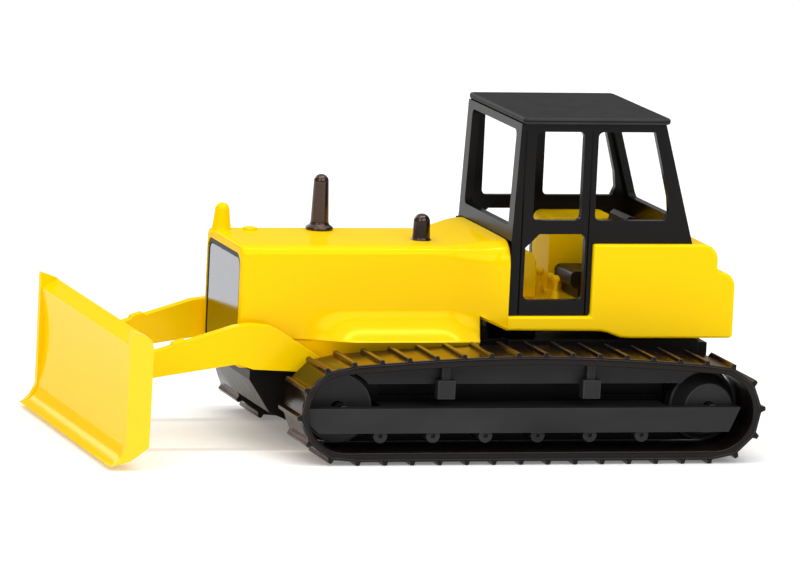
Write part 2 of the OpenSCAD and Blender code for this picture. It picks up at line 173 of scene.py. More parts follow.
class Graph(Nodes):
    """A material's node tree."""

    def __init__(self, name: str) -> None:
        """Makes an empty material.

        Args:
            name: The material's name.
        """
        self.material = bpy.data.materials.new(name)
        self.material.use_nodes = True
        self.tree = self.material.node_tree
        self.tree.nodes.clear()

    def place(self) -> bpy.types.NodeSocket:
        """The point's place in the frame, in metres."""
        return self.node("ShaderNodeTexCoord", {}, {}).outputs["Object"]

    def noise(self, size: float, detail: float = 2.0,
              stretch: Sequence[float] = (1.0, 1.0, 1.0)) -> Signal:
        """Smooth noise about 0.5.

        Args:
            size: The size of its features, in metres.
            detail: How many finer octaves it has.
            stretch: How much longer its features are along each axis.

        Returns:
            The noise.
        """
        mapped = self.node("ShaderNodeMapping", {}, {
            "Vector": self.place(), "Scale": [1 / (size * s) for s in stretch]})
        return Signal(self, self.node("ShaderNodeTexNoise", {}, {
            "Vector": mapped.outputs[0], "Scale": 1.0, "Detail": detail}).outputs[0])

    def attribute(self, name: str) -> Signal:
        """A number stored on the mesh, by its attribute's name."""
        return Signal(self, self.node(
            "ShaderNodeAttribute", {"attribute_name": name}, {}).outputs["Fac"])

    def blend(self, share: Signal, first: Colour | bpy.types.NodeSocket,
              second: Colour | bpy.types.NodeSocket) -> bpy.types.NodeSocket:
        """A colour between two colours.

        Args:
            share: How much of the second colour.
            first: The first colour, or the link that carries it.
            second: The second colour, or its link.

        Returns:
            The mixed colour.
        """
        low, high = (c if isinstance(c, bpy.types.NodeSocket) else (*c, 1.0)
                     for c in (first, second))
        return self.node("ShaderNodeMix", {"data_type": "RGBA"}, {
            "Factor": share, 6: low, 7: high}).outputs[2]

    def painted_inner_shadow(self, colour: bpy.types.NodeSocket, depth: float
                        ) -> bpy.types.NodeSocket:
        """Paints shadow on a colour, black near the vehicle's middle plane and clearing over a
        millimetre.

        Args:
            colour: The colour.
            depth: The distance from the middle plane up to which it is black, in metres.

        Returns:
            The faded colour.
        """
        # Painted shadow: the colour goes to black within the given distance of the middle plane.
        across = self.node("ShaderNodeSeparateXYZ", {}, {0: self.place()}).outputs[1]
        away = Signal(self, self.node(
            "ShaderNodeMath", {"operation": "ABSOLUTE"}, {0: across}).outputs[0])
        share = ((away - depth) * (1.0 / MM)).clamped(0.0, 1.0)
        return self.blend(share, SHADOW, colour)

    def bump(self, height: Signal, depth: float) -> bpy.types.NodeSocket:
        """A normal bent by a height from 0 to 1, where 1 stands for a depth in metres."""
        return self.node("ShaderNodeBump", {}, {"Height": height, "Distance": depth}).outputs[0]

    def finish(self, inputs: dict, glaze: dict | None = None, share: Signal | None = None
               ) -> bpy.types.Material:
        """Ends the graph in a Principled surface, with a glossy glaze over part of it if asked.

        Args:
            inputs: The shader's values or links, by socket name.
            glaze: The glossy shader's values or links, if there is a glaze.
            share: How much of the surface is glaze.

        Returns:
            The finished material.
        """
        surface = self.node("ShaderNodeBsdfPrincipled", {}, inputs)
        if glaze is not None:
            gloss = self.node("ShaderNodeBsdfGlossy", {}, glaze)
            surface = self.node("ShaderNodeMixShader", {}, {
                "Fac": share, 1: surface.outputs[0], 2: gloss.outputs[0]})
        self.node("ShaderNodeOutputMaterial", {}, {"Surface": surface.outputs[0]})
        return self.material


# ---- finishes ---------------------------------------------------------------

EDGE = "edge"
MATT = "matt"
SHADOW = (0.001, 0.001, 0.001)


def dimmed(colour: Colour, share: float) -> Colour:
    """A colour with only a share of its light."""
    return tuple(share * part for part in colour)


@dataclass(frozen=True)
class MouldedPlastic:
    """Injection-moulded plastic: a through colour with faint flow marks and an orange-peel skin.

    Rounded edges show the edge colour, which stands for edge wear and a painted highlight. A
    glaze is a glossy layer with its own tint, which lies on a share of the surface. A recess is
    the distance from the vehicle's middle plane up to which the plastic is painted in shadow.
    """

    name: str
    colour: Colour
    flow_colour: Colour
    edge_wear_and_highlight_colour: Colour
    roughness: float
    specular: float
    roughness_spread: float = 0.06
    least_roughness: float = 0.04
    glaze_polish: float = 0.7
    grain: float = 0.5 * MM
    grain_depth: float = 0.004 * MM
    flow_size: float = 7 * MM
    flow_stretch: tuple[float, float, float] = (2.2, 1.0, 1.0)
    flow_contrast: float = 1.7
    handling_size: float = 2.4 * MM
    edge_wear_and_highlight: float = 0.35
    edge_wear_and_highlight_spread: float = 0.5
    glaze: Colour | None = None
    glaze_share: float = 0.0
    recess: float | None = None

    def build(self) -> bpy.types.Material:
        """Makes the material.

        Returns:
            The plastic.
        """
        graph = Graph(f"{self.name}_finish")
        flow = graph.noise(self.flow_size, 3.0, self.flow_stretch)
        skin = graph.noise(self.grain, 2.0)
        handling = graph.noise(self.handling_size, 4.0)
        body = graph.blend(flow.contrast(self.flow_contrast), self.colour, self.flow_colour)
        # Rounded edges take a lighter colour: partly edge wear, partly a painted highlight.
        wear_and_highlight = self.edge_wear_and_highlight + handling * self.edge_wear_and_highlight_spread
        worn_and_lit = (graph.attribute(EDGE) * wear_and_highlight).clamped(0.0, 1.0)
        colour = graph.blend(worn_and_lit, body, self.edge_wear_and_highlight_colour)
        # Painted shadow on the inner sides, near the vehicle's middle plane.
        if self.recess is not None:
            colour = graph.painted_inner_shadow(colour, self.recess)
        rough = (handling - 0.5) * self.roughness_spread * 2.0 + self.roughness
        normal = graph.bump(skin, self.grain_depth)
        inputs = {"Base Color": colour, "Roughness": rough.clamped(self.least_roughness, 1.0),
                  "Normal": normal, "Specular IOR Level": self.specular}
        if self.glaze is None:
            return graph.finish(inputs)
        glaze = {"Color": (*self.glaze, 1.0), "Roughness": self.roughness * self.glaze_polish,
                 "Normal": normal}
        return graph.finish(inputs, glaze, (1.0 - graph.attribute(MATT)) * self.glaze_share)


@dataclass(frozen=True)
class HotFoil:
    """Bright foil pressed on to plastic: nearly a mirror, with fine upright press lines."""

    name: str
    colour: Colour = (0.23, 0.235, 0.255)
    roughness: float = 0.06
    line_size: float = 0.16 * MM
    cloud_size: float = 3 * MM
    ripple: float = 0.004 * MM

    def build(self) -> bpy.types.Material:
        """Makes the material.

        Returns:
            The foil.
        """
        graph = Graph(f"{self.name}_finish")
        lines = graph.noise(self.line_size, 1.0, (1.0, 1.0, 60.0))
        cloud = graph.noise(self.cloud_size, 3.0)
        rough = lines * 0.05 + cloud * 0.05 + self.roughness
        return graph.finish({
            "Base Color": graph.blend(cloud.contrast(1.4), self.colour, dimmed(self.colour, 0.93)),
            "Metallic": 1.0, "Normal": graph.bump(lines * 0.4 + cloud * 0.6, self.ripple),
            "Roughness": rough.clamped(0.05, 0.4)})


@dataclass(frozen=True)
class TurnedSteel:
    """Blackened steel with turning marks round a crosswise axis."""

    name: str
    colour: Colour = (0.05, 0.05, 0.052)
    mark_size: float = 0.12 * MM
    mark_depth: float = 0.003 * MM

    def build(self) -> bpy.types.Material:
        """Makes the material.

        Returns:
            The steel.
        """
        graph = Graph(f"{self.name}_finish")
        marks = graph.noise(self.mark_size, 2.0, (30.0, 1.0, 30.0))
        return graph.finish({
            "Base Color": graph.blend(marks, self.colour, dimmed(self.colour, 0.75)),
            "Metallic": 1.0, "Normal": graph.bump(marks, self.mark_depth),
            "Roughness": marks * 0.15 + 0.22})


YELLOW = (1.0, 0.66, 0.0)
YELLOW_DEEP = (1.0, 0.63, 0.0)
# Lighter yellow for rounded edges: partly edge wear, partly a painted highlight.
YELLOW_EDGE_HIGHLIGHT = (1.0, 0.7, 0.0)
YELLOW_BLADE = (1.0, 0.655, 0.0)
# Darker copies of the body yellow for the cab's inside: painted shade.
YELLOW_INNER_SHADE = (1.0, 0.64, 0.0)
YELLOW_INNER_SHADE_DEEP = (1.0, 0.6, 0.0)
GLEAM = (1.0, 0.8, 0.14)
GLEAM_BLADE = (1.0, 0.92, 0.6)
GLEAM_PIPE = (1.0, 0.55, 0.35)
GLEAM_TRACK = (1.0, 0.36, 0.1)
JET = (0.006, 0.006, 0.0062)
BLACK = (0.016, 0.016, 0.0165)
BLACK_WARM = (0.009, 0.0075, 0.007)
# Pale black for rounded edges: partly edge wear, partly a painted highlight.
BLACK_EDGE_HIGHLIGHT = (0.06, 0.06, 0.062)


class Finish(Enum):
    """The finishes, named by the record's material slots."""

    BODY = MouldedPlastic("yellow_gloss", YELLOW, YELLOW_DEEP, YELLOW_EDGE_HIGHLIGHT, 0.22, specular=0.01,
                          glaze=GLEAM, glaze_share=0.04)
    # The cab's inside is a darker copy of the body yellow: painted shade.
    INNER = MouldedPlastic("yellow_inner", YELLOW_INNER_SHADE, YELLOW_INNER_SHADE_DEEP, YELLOW_EDGE_HIGHLIGHT, 0.3,
                           specular=0.01, glaze=GLEAM, glaze_share=0.05)
    BLADE = MouldedPlastic("blade_yellow", YELLOW_BLADE, YELLOW_DEEP, YELLOW_EDGE_HIGHLIGHT, 0.14,
                           specular=0.01, glaze=GLEAM_BLADE, glaze_share=0.05)
    ARM = MouldedPlastic("arm_yellow", YELLOW, YELLOW_DEEP, YELLOW_EDGE_HIGHLIGHT, 0.22, specular=0.01,
                         glaze=GLEAM, glaze_share=0.04)
    CHASSIS = MouldedPlastic("black_satin", JET, BLACK_WARM, BLACK_EDGE_HIGHLIGHT, 0.3, specular=0.06)
    CAB = MouldedPlastic("cab_black", JET, BLACK_WARM, BLACK_EDGE_HIGHLIGHT, 0.22, specular=0.1)
    ROOF = MouldedPlastic("roof_black", (0.011, 0.011, 0.0115), BLACK, BLACK_EDGE_HIGHLIGHT, 0.42,
                          specular=0.05, grain=0.22 * MM, grain_depth=0.012 * MM)
    PIPE = MouldedPlastic("black_gloss", (0.012, 0.006, 0.004), BLACK_WARM, BLACK_EDGE_HIGHLIGHT, 0.2,
                          specular=0.3, glaze=GLEAM_PIPE, glaze_share=0.05)
    SEAT = MouldedPlastic("seat_black", JET, BLACK_WARM, BLACK_EDGE_HIGHLIGHT, 0.38, specular=0.2)
    SURROUND = MouldedPlastic("grille_black", JET, BLACK_WARM, BLACK_WARM, 0.25, specular=0.04)
    # The frames' inner sides, nearer the middle plane than 12.8 mm, are painted in shadow.
    FRAME = MouldedPlastic("frame_black", (0.035, 0.035, 0.0355), BLACK, BLACK_EDGE_HIGHLIGHT, 0.4,
                           specular=0.14, recess=12.8 * MM)
    TRACK = MouldedPlastic("track_black", (0.01, 0.005, 0.003), JET, BLACK_EDGE_HIGHLIGHT, 0.2,
                           specular=0.17, glaze=GLEAM_TRACK, glaze_share=0.09)
    WHEEL = MouldedPlastic("wheel_black", (0.036, 0.036, 0.037), BLACK, BLACK_EDGE_HIGHLIGHT, 0.38,
                           specular=0.22)
    FOIL = HotFoil("grille_silver")
    STEEL = TurnedSteel("steel_pin")

    @property
    def slot(self) -> str:
        """The record's material slot."""
        return self.value.name

    @cache
    def material(self) -> bpy.types.Material:
        """The finish's material, made at its first use."""
        return self.value.build()


# ---- mesh helpers -----------------------------------------------------------


def sharp_edges(bm: bmesh.types.BMesh, degrees: float, keep: EdgeTest | None = None
                ) -> list[bmesh.types.BMEdge]:
    """Finds the edges to round.

    Args:
        bm: The mesh.
        degrees: The least angle between an edge's faces.
        keep: Says whether an edge may be rounded.

    Returns:
        The edges.
    """
    limit = math.radians(degrees)
    return [e for e in bm.edges if len(e.link_faces) == 2
            and e.calc_face_angle(0.0) > limit and (keep is None or keep(e))]


def round_edges(bm: bmesh.types.BMesh, radius: float, segments: int, degrees: float = SHARP_EDGE,
                keep: EdgeTest | None = None) -> None:
    """Rounds sharp edges and marks the new faces as edge faces.

    Args:
        bm: The mesh.
        radius: How far from the edge the rounding starts.
        segments: Faces across a rounded edge.
        degrees: The least angle that is rounded.
        keep: Says whether an edge may be rounded.
    """
    layer = bm.faces.layers.float.get(EDGE) or bm.faces.layers.float.new(EDGE)
    edges = sharp_edges(bm, degrees, keep)
    made = bmesh.ops.bevel(bm, geom=edges, offset=radius, offset_type="OFFSET",
                           segments=segments, profile=0.5, affect="EDGES",
                           clamp_overlap=True, loop_slide=True, miter_outer="SHARP")
    for face in made["faces"]:
        face[layer] = 1.0


def weighted(obj: bpy.types.Object, degrees: float = HARD_EDGE) -> bpy.types.Object:
    """Shades an object smooth, with flat faces kept flat and hard edges kept hard.

    Args:
        obj: The object, whose mesh is replaced.
        degrees: The least angle of a hard edge.

    Returns:
        The same object.
    """
    mesh = obj.data
    mesh.polygons.foreach_set("use_smooth", [True] * len(mesh.polygons))
    mesh.set_sharp_from_angle(angle=math.radians(degrees))
    modifier = obj.modifiers.new("weighted", "WEIGHTED_NORMAL")
    modifier.keep_sharp = True
    modifier.weight = FACE_WEIGHT
    return frozen(obj)


def frozen(obj: bpy.types.Object) -> bpy.types.Object:
    """Turns an object's evaluated shape into its plain mesh.

    Args:
        obj: The object.

    Returns:
        The same object, with no modifiers.
    """
    bpy.context.view_layer.update()
    graph = bpy.context.evaluated_depsgraph_get()
    mesh = bpy.data.meshes.new_from_object(
        obj.evaluated_get(graph), preserve_all_data_layers=True, depsgraph=graph)
    obj.modifiers.clear()
    obj.data = mesh
    return obj


def in_scene(name: str, data: bpy.types.ID) -> bpy.types.Object:
    """Makes an object and puts it in the scene.

    Args:
        name: The object's name.
        data: Its mesh, light or camera.

    Returns:
        The object.
    """
    obj = bpy.data.objects.new(name, data)
    bpy.context.scene.collection.objects.link(obj)
    return obj


def solid_object(name: str, bm: bmesh.types.BMesh) -> bpy.types.Object:
    """Makes an object of a mesh being built.

    Args:
        name: The object's name.
        bm: The mesh, which is freed.

    Returns:
        The object.
    """
    mesh = bpy.data.meshes.new(name)
    bm.to_mesh(mesh)
    bm.free()
    return in_scene(name, mesh)


def node_mesh(node: str) -> bmesh.types.BMesh:
    """Copies a CAD node's mesh, joins its loose triangles and clears flat faces of extra edges.

    Args:
        node: The node's name.

    Returns:
        The merged copy.
    """
    bm = bmesh.new()
    bm.from_mesh(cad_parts[node].data)
    for layer in list(bm.loops.layers.uv.values()):
        bm.loops.layers.uv.remove(layer)
    bmesh.ops.remove_doubles(bm, verts=bm.verts, dist=0.0008 * MM)
    bmesh.ops.dissolve_limit(bm, angle_limit=FLAT_ANGLE, verts=bm.verts, edges=bm.edges)
    return bm


def loft(sections: Sequence[Sequence[Vector]]) -> bmesh.types.BMesh:
    """Skins closed sections, and closes both ends.

    Args:
        sections: Rings of the same number of points, in order.

    Returns:
        The closed mesh.
    """
    bm = bmesh.new()
    rings = [[bm.verts.new(p) for p in ring] for ring in sections]
    for near, far in zip(rings, rings[1:]):
        for i in range(len(near)):
            j = (i + 1) % len(near)
            bm.faces.new((near[i], near[j], far[j], far[i]))
    bm.faces.new(rings[0])
    bm.faces.new(rings[-1])
    bmesh.ops.remove_doubles(bm, verts=bm.verts, dist=0.001 * MM)
    bmesh.ops.recalc_face_normals(bm, faces=bm.faces)
    return bm


def lathe(profile: Sequence[Point], centre: Vector, segments: int) -> bmesh.types.BMesh:
    """Turns a profile about an upright axis.

    Args:
        profile: Radius and height pairs in millimetres, from the bottom up.
        centre: The axis's foot, in metres.
        segments: Faces round it.

    Returns:
        The closed mesh.
    """
    rings = []
    for radius, height in profile:
        rings.append([centre + Vector((radius * math.cos(math.tau * i / segments),
                                       radius * math.sin(math.tau * i / segments), height)) * MM
                      for i in range(segments)])
    return loft(rings)


def arc(centre: Point, radius: float, start: float, end: float, steps: int) -> list[Point]:
    """Points on an arc between two angles in degrees, both ends included."""
    angles = [math.radians(start + (end - start) * i / steps) for i in range(steps + 1)]
    return [(centre[0] + radius * math.cos(a), centre[1] + radius * math.sin(a)) for a in angles]


def ease(value: float, low: float, high: float) -> float:
    """A smooth step from 0 at low to 1 at high."""
    t = min(max((value - low) / (high - low), 0.0), 1.0)
    return t * t * (3 - 2 * t)


def subtract(obj: bpy.types.Object, cutter: bpy.types.Object) -> None:
    """Cuts one closed object out of another.

    Args:
        obj: The object that is cut.
        cutter: The object that is taken away and then removed.
    """
    modifier = obj.modifiers.new("cut", "BOOLEAN")
    modifier.operation = "DIFFERENCE"
    modifier.solver = "FAST"
    modifier.object = cutter
    frozen(obj)
    bpy.data.objects.remove(cutter)


def prism(outline: Sequence[Point], low: float, high: float) -> bmesh.types.BMesh:
    """Extrudes an outline along the vehicle."""
    return loft([[Vector((x, y, z)) for y, z in outline] for x in (low, high)])


def rounded_box(low: Point, high: Point, radius: float, steps: int = 8) -> list[Point]:
    """A rectangle with round corners.

    Args:
        low: Its lowest corner.
        high: Its highest corner.
        radius: The corners' radius.
        steps: Chords on each corner.

    Returns:
        Its points, anticlockwise.
    """
    (x0, y0), (x1, y1) = low, high
    corners = [((x1 - radius, y0 + radius), -90), ((x1 - radius, y1 - radius), 0),
               ((x0 + radius, y1 - radius), 90), ((x0 + radius, y0 + radius), 180)]
    return [p for centre, start in corners for p in arc(centre, radius, start, start + 90, steps)]


# ---- sub-assemblies ---------------------------------------------------------


class Assembly:
    """A group of pieces that are dressed and fixed in the same way."""

    def fit(self, obj: bpy.types.Object, finish: Finish, body: Body, *nodes: str) -> None:
        """Gives a piece its finish, its body and the CAD nodes that it stands for.

        Args:
            obj: The finished piece.
            finish: Its finish.
            body: The body that it rides on.
            nodes: The CAD nodes that it stands for.
        """
        obj.data.materials.clear()
        obj.data.materials.append(finish.material())
        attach(obj, body.value)
        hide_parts(*nodes)
        log.info("%-26s %6d faces on %s", obj.name, len(obj.data.polygons), body.value)

    def rounded_copy(self, node: str, radius: float, finish: Finish, body: Body = Body.ROOT,
                     segments: int = 3, keep: EdgeTest | None = None) -> None:
        """Stands a copy with rounded edges in for a CAD node.

        Args:
            node: The node's name.
            radius: The radius of its edges.
            finish: Its finish.
            body: The body that it rides on.
            segments: Faces across an edge.
            keep: Says whether an edge may be rounded.
        """
        bm = node_mesh(node)
        round_edges(bm, radius, segments, keep=keep)
        self.fit(weighted(solid_object(f"{node}_moulding", bm)), finish, body, node)


@dataclass
class Hood(Assembly):
    """The body shell: hood, cowl and fenders as one loft, with the CAD's sills and rear tank."""

    half_width: float = 8.3 * MM
    cowl_half_width: float = 11.9 * MM
    top: float = 25.4 * MM
    cowl_top: float = 26.5 * MM
    bottom: float = 10.2 * MM
    edge: float = 1.3 * MM
    cowl_edge: float = 2.9 * MM
    front: float = 22.9 * MM
    front_edge: float = 0.55 * MM
    bulkhead: float = -10.8 * MM
    cowl_start: float = -3.2 * MM
    step: float = -7.5 * MM
    fender_half_width: float = 11.3 * MM
    fender_bottom: float = 13.6 * MM
    fender_top: float = 17.6 * MM
    fender_front: tuple[float, float] = (8.0 * MM, 15.5 * MM)
    fender_bow: float = 1.6
    sill_bottom: float = 15.4 * MM
    step_bottom: float = 16.8 * MM
    joint_top: float = 17.4 * MM
    wall: float = 1.2 * MM
    chamfer: float = 0.25 * MM
    lip: float = 0.3 * MM
    crown: float = 0.06 * MM
    shoulder: float = 4 * MM
    rim_edge: float = 0.22 * MM
    tank_edge: float = 0.38 * MM
    tank_side: float = 11 * MM
    tank_back: float = -37.9 * MM
    recess_gap: float = 0.05 * MM
    recess_corner: float = 1.5 * MM
    post_back: float = 1.2 * MM
    post_y: float = -5.9 * MM
    post_sunk: float = 0.4 * MM
    cap_x: float = 18.2 * MM
    cap_y: float = -5.2 * MM
    cap_sunk: float = 0.2 * MM
    rim_angle: float = 55.0
    tank_angle: float = 35.0
    shell_angle: float = 38.0
    flare_steps: int = 16
    edge_steps: int = 10
    rear_steps: int = 10
    body_steps: int = 60
    nose_steps: int = 5

    def half_width_at(self, x: float) -> float:
        """The hood's half width at a station, without its fender."""
        share = 1 - ease(x, self.bulkhead + 0.4 * MM, self.cowl_start)
        return self.half_width + (self.cowl_half_width - self.half_width) * share

    def top_at(self, x: float) -> float:
        """The height of the top at a station."""
        share = 1 - ease(x, self.bulkhead, self.cowl_start)
        return self.top + (self.cowl_top - self.top) * share

    def section(self, x: float, inset: float, stepped: bool) -> list[Vector]:
        """One half of a cross-section, from the bottom's middle to the top's middle.

        Args:
            x: Its station.
            inset: How far it is drawn in, at the rounded front.
            stepped: Whether it is behind the fender's rear end, where the side is cut short.

        Returns:
            Its points, on the left side.
        """
        base = self.half_width_at(x)
        reach = 1 - ease(x, *self.fender_front)
        flare = (self.fender_half_width - base) * reach
        span = self.fender_top - self.fender_bottom
        low = self.bottom
        if stepped:
            fall = (self.step - x) / (self.step - self.bulkhead)
            low = self.step_bottom + (self.sill_bottom - self.step_bottom) * fall
        core = base if stepped else self.half_width
        points = [(0.0, low), (core * 0.9, low), (core - self.chamfer, low),
                  (core, low + self.chamfer)]
        if not stepped:
            points.append((base + flare - self.chamfer, self.fender_bottom))
        for i in range(self.flare_steps + 1):
            fall = 1 - i / self.flare_steps
            y = base + flare * fall ** self.fender_bow
            z = self.fender_top - (span - self.chamfer) * fall
            points.append((y, max(z, low + self.lip)))
        if stepped:
            # Every section has the same number of points, so this one is doubled.
            points.append(points[-1])
        share = 1 - ease(x, self.bulkhead + MM, self.cowl_start + MM)
        top = self.top_at(x)
        peak = top + self.crown
        radius = self.edge + (self.cowl_edge - self.edge) * share
        points += arc((base - radius, top - radius), radius, 0, 90, self.edge_steps)
        points += [(base * 0.5, top + self.crown * 2 / 3), (0.0, peak)]
        ring = []
        for y, z in points:
            shrink = max(0.0, (y - inset) / y) if y > 0 else 1.0
            near_top = z > self.top - self.shoulder
            height = min(z, peak - inset) if near_top else max(z, low + inset * 0.5)
            ring.append(Vector((x, y * shrink, height)))
        return ring

    def stations(self) -> list[tuple[float, float, bool]]:
        """Works out where the cross-sections are.

        Returns:
            For each its station, its inset, and whether it is behind the fender's rear end.
        """
        rear = [(self.bulkhead + (self.step - self.bulkhead) * i / self.rear_steps, 0.0, True)
                for i in range(self.rear_steps + 1)]
        length = self.front - self.front_edge - self.step
        body = [(self.step + length * i / self.body_steps, 0.0, False)
                for i in range(self.body_steps + 1)]
        nose = []
        for i in range(1, self.nose_steps + 1):
            turn = math.pi / 2 * i / self.nose_steps
            nose.append((self.front - self.front_edge * (1 - math.sin(turn)),
                         self.front_edge * (1 - math.cos(turn)), False))
        return rear + body + nose

    def at_joint(self, vertex: bmesh.types.BMVert) -> bool:
        """Whether a point is on the plane where the hood meets the sills."""
        return abs(vertex.co.x - self.bulkhead) < TOUCH

    def hood_edge(self, edge: bmesh.types.BMEdge) -> bool:
        """Whether a hood edge may be rounded: it is off the joint's lower part and the nose."""
        joint = all(self.at_joint(v) and v.co.z < self.joint_top for v in edge.verts)
        return not joint and min(v.co.x for v in edge.verts) < self.front - MM

    def outer_edge(self, edge: bmesh.types.BMEdge) -> bool:
        """Whether a sill's or the tank's edge may be rounded: it is outside, off the joint."""
        outside = any(abs(v.co.y) > self.tank_side or v.co.x < self.tank_back for v in edge.verts)
        return outside and not all(self.at_joint(v) for v in edge.verts)

    def hood_solid(self) -> bpy.types.Object:
        """Builds the hood and the cowl as one hollow shell, with the grille's recess.

        Returns:
            The shell.
        """
        rings = []
        for x, inset, stepped in self.stations():
            half = self.section(x, inset, stepped)
            other = [Vector((p.x, -p.y, p.z)) for p in reversed(half[1:-1])]
            rings.append(half + other)
        bm = loft(rings)
        round_edges(bm, self.rim_edge, 3, self.rim_angle, self.hood_edge)
        shell = solid_object("hood_shell", bm)
        core = self.half_width - self.wall
        hollow = rounded_box((-core, self.bottom - 2 * MM), (core, self.top - self.wall), 0.5 * MM)
        subtract(shell, solid_object("hollow", prism(
            hollow, self.bulkhead + self.wall, self.front - self.wall)))
        low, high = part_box("grille_surround")
        gap = self.recess_gap
        recess = rounded_box((low.y - gap, low.z - gap), (high.y + gap, high.z + gap),
                             self.recess_corner)
        subtract(shell, solid_object("recess", prism(recess, low.x, self.front + MM)))
        return shell

    def post(self) -> bmesh.types.BMesh:
        """Turns the round-topped finger on the right front corner.

        Returns:
            The finger.
        """
        foot = Vector((self.front - self.post_back, self.post_y, self.top - self.post_sunk))
        neck = [(1.5, 0.0), (1.32, 0.3), (1.2, 0.6), (1.13, 1.0)]
        return lathe([*neck, *arc((0.0, 2.85), 0.92, 0, 84, 8)], foot, 32)

    def cap(self) -> bmesh.types.BMesh:
        """Turns the low filler cap on the right front of the hood."""
        foot = Vector((self.cap_x, self.cap_y, self.top - self.cap_sunk))
        return lathe([(0.95, 0.0), *arc((0.75, 0.42), 0.15, 0, 90, 4), (0.2, 0.58)], foot, 32)

    def rear_half(self) -> bmesh.types.BMesh:
        """Cuts the sills and the tank from the CAD shell, behind the bulkhead, and rounds them.

        Returns:
            The sills and the tank.
        """
        bm = node_mesh("body_shell")
        cut = bmesh.ops.bisect_plane(
            bm, geom=[*bm.verts, *bm.edges, *bm.faces], dist=0.001 * MM,
            plane_co=(self.bulkhead, 0, 0), plane_no=(1, 0, 0), clear_outer=True)
        rim = [e for e in cut["geom_cut"] if isinstance(e, bmesh.types.BMEdge)]
        bmesh.ops.holes_fill(bm, edges=rim)
        bmesh.ops.dissolve_limit(bm, angle_limit=FLAT_ANGLE, verts=bm.verts, edges=bm.edges)
        round_edges(bm, self.tank_edge, 4, self.tank_angle, self.outer_edge)
        return bm

    def build(self) -> None:
        """Builds and fits the body shell's pieces."""
        self.fit(weighted(self.hood_solid(), self.shell_angle), Finish.BODY, Body.ROOT,
                 "body_shell")
        for name, bm in (("corner_post", self.post()), ("filler_cap", self.cap()),
                         ("tank_and_sills", self.rear_half())):
            self.fit(weighted(solid_object(name, bm)), Finish.BODY, Body.ROOT, "body_shell")


@dataclass
class HoodFittings(Assembly):
    """What is set into the hood: exhaust stack, intake and grille insert.

    The peg, the deck and the rims' radius and height pairs are in millimetres, and the rims'
    heights are above the deck, which is the hood's surface.
    """

    peg: float = 0.62
    deck: float = 1.0
    stack_rim: tuple[Point, ...] = ((1.5, 0.0), (1.72, 0.1), (1.74, 0.36), (1.6, 0.5),
                                    (1.32, 0.66), (1.2, 0.86), (1.15, 1.1))
    intake_rim: tuple[Point, ...] = ((1.22, 0.0), (1.29, 0.06), (1.26, 0.14), (1.15, 0.22),
                                     (1.11, 0.4))
    surround_edge: float = 0.1 * MM
    panel_edge: float = 0.08 * MM

    def turned(self, name: str, node: str, rim: Sequence[Point], dome: Sequence[Point]) -> None:
        """Turns and fits a fitting with a peg in the hood, a rim on it and a round top.

        Args:
            name: The piece's name.
            node: The CAD node that it stands for, which gives its place and its height.
            rim: Radius and height pairs, from the deck up.
            dome: Radius and height pairs, from the top down.
        """
        low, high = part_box(node)
        centre = (low + high) / 2
        top = (high.z - low.z) / MM
        profile = [(self.peg, 0.0), (self.peg, self.deck)]
        profile += [(radius, self.deck + height) for radius, height in rim]
        profile += [(radius, top + height) for radius, height in dome]
        bm = lathe(profile, Vector((centre.x, centre.y, low.z)), 40)
        self.fit(weighted(solid_object(name, bm), HARD_EDGE_ROUND), Finish.PIPE, Body.ROOT, node)

    def build(self) -> None:
        """Builds and fits the fittings."""
        self.turned("exhaust_pipe", "exhaust_stack", self.stack_rim,
                    arc((0.0, -0.95), 0.95, 2, 84, 9))
        self.turned("intake_cap", "air_intake", self.intake_rim,
                    arc((0.0, -1.05), 1.04, 3, 84, 10))
        self.rounded_copy("grille_surround", self.surround_edge, Finish.SURROUND)
        self.rounded_copy("grille_panel", self.panel_edge, Finish.FOIL)


@dataclass
class Cab(Assembly):
    """The cab's frame, roof and inside."""

    seams: tuple[float, float] = (-12.25 * MM, -20.95 * MM)
    seam_reach: float = 0.16 * MM
    seam_side: float = 11.1 * MM
    frame_edge: float = 0.16 * MM
    roof_edge: float = 0.3 * MM
    floor_edge: float = 0.25 * MM
    console_edge: float = 0.3 * MM
    lever_edge: float = 0.08 * MM
    seat_edge: float = 0.4 * MM

    def off_seam(self, edge: bmesh.types.BMEdge) -> bool:
        """Finds whether an edge is away from the door's fine seams.

        Args:
            edge: The edge.

        Returns:
            Whether it may be rounded.
        """
        middle = (edge.verts[0].co + edge.verts[1].co) / 2
        near = min(abs(middle.x - x) for x in self.seams) < self.seam_reach
        return not (near and abs(middle.y) > self.seam_side)

    def build(self) -> None:
        """Builds and fits the cab's pieces."""
        self.rounded_copy("cab_frame", self.frame_edge, Finish.CAB, keep=self.off_seam)
        self.rounded_copy("cab_roof", self.roof_edge, Finish.ROOF, segments=4)
        self.rounded_copy("cab_interior", self.floor_edge, Finish.INNER)
        self.rounded_copy("control_console", self.console_edge, Finish.INNER)
        self.rounded_copy("control_levers", self.lever_edge, Finish.INNER)
        self.rounded_copy("seat", self.seat_edge, Finish.SEAT, segments=4)


@dataclass
class Blade(Assembly):
    """The blade and its two push arms, which lift together."""

    board_edge: float = 0.24 * MM
    arm_edge: float = 0.22 * MM

    def build(self) -> None:
        """Builds and fits the blade's pieces."""
        self.rounded_copy("blade", self.board_edge, Finish.BLADE, Body.BLADE, segments=4)
        for side in Side:
            self.rounded_copy(f"push_arm_{side.word}", self.arm_edge, Finish.ARM, Body.BLADE)


@dataclass
class Chassis(Assembly):
    """The belly, the pins and the axles."""

    belly_edge: float = 0.3 * MM
    pin_edge: float = 0.12 * MM

    def build(self) -> None:
        """Builds and fits the chassis's pieces."""
        self.rounded_copy("chassis", self.belly_edge, Finish.CHASSIS)
        for node in ("arm_pivot_pins", "idler_axle", "sprocket_axle"):
            self.rounded_copy(node, self.pin_edge, Finish.STEEL)


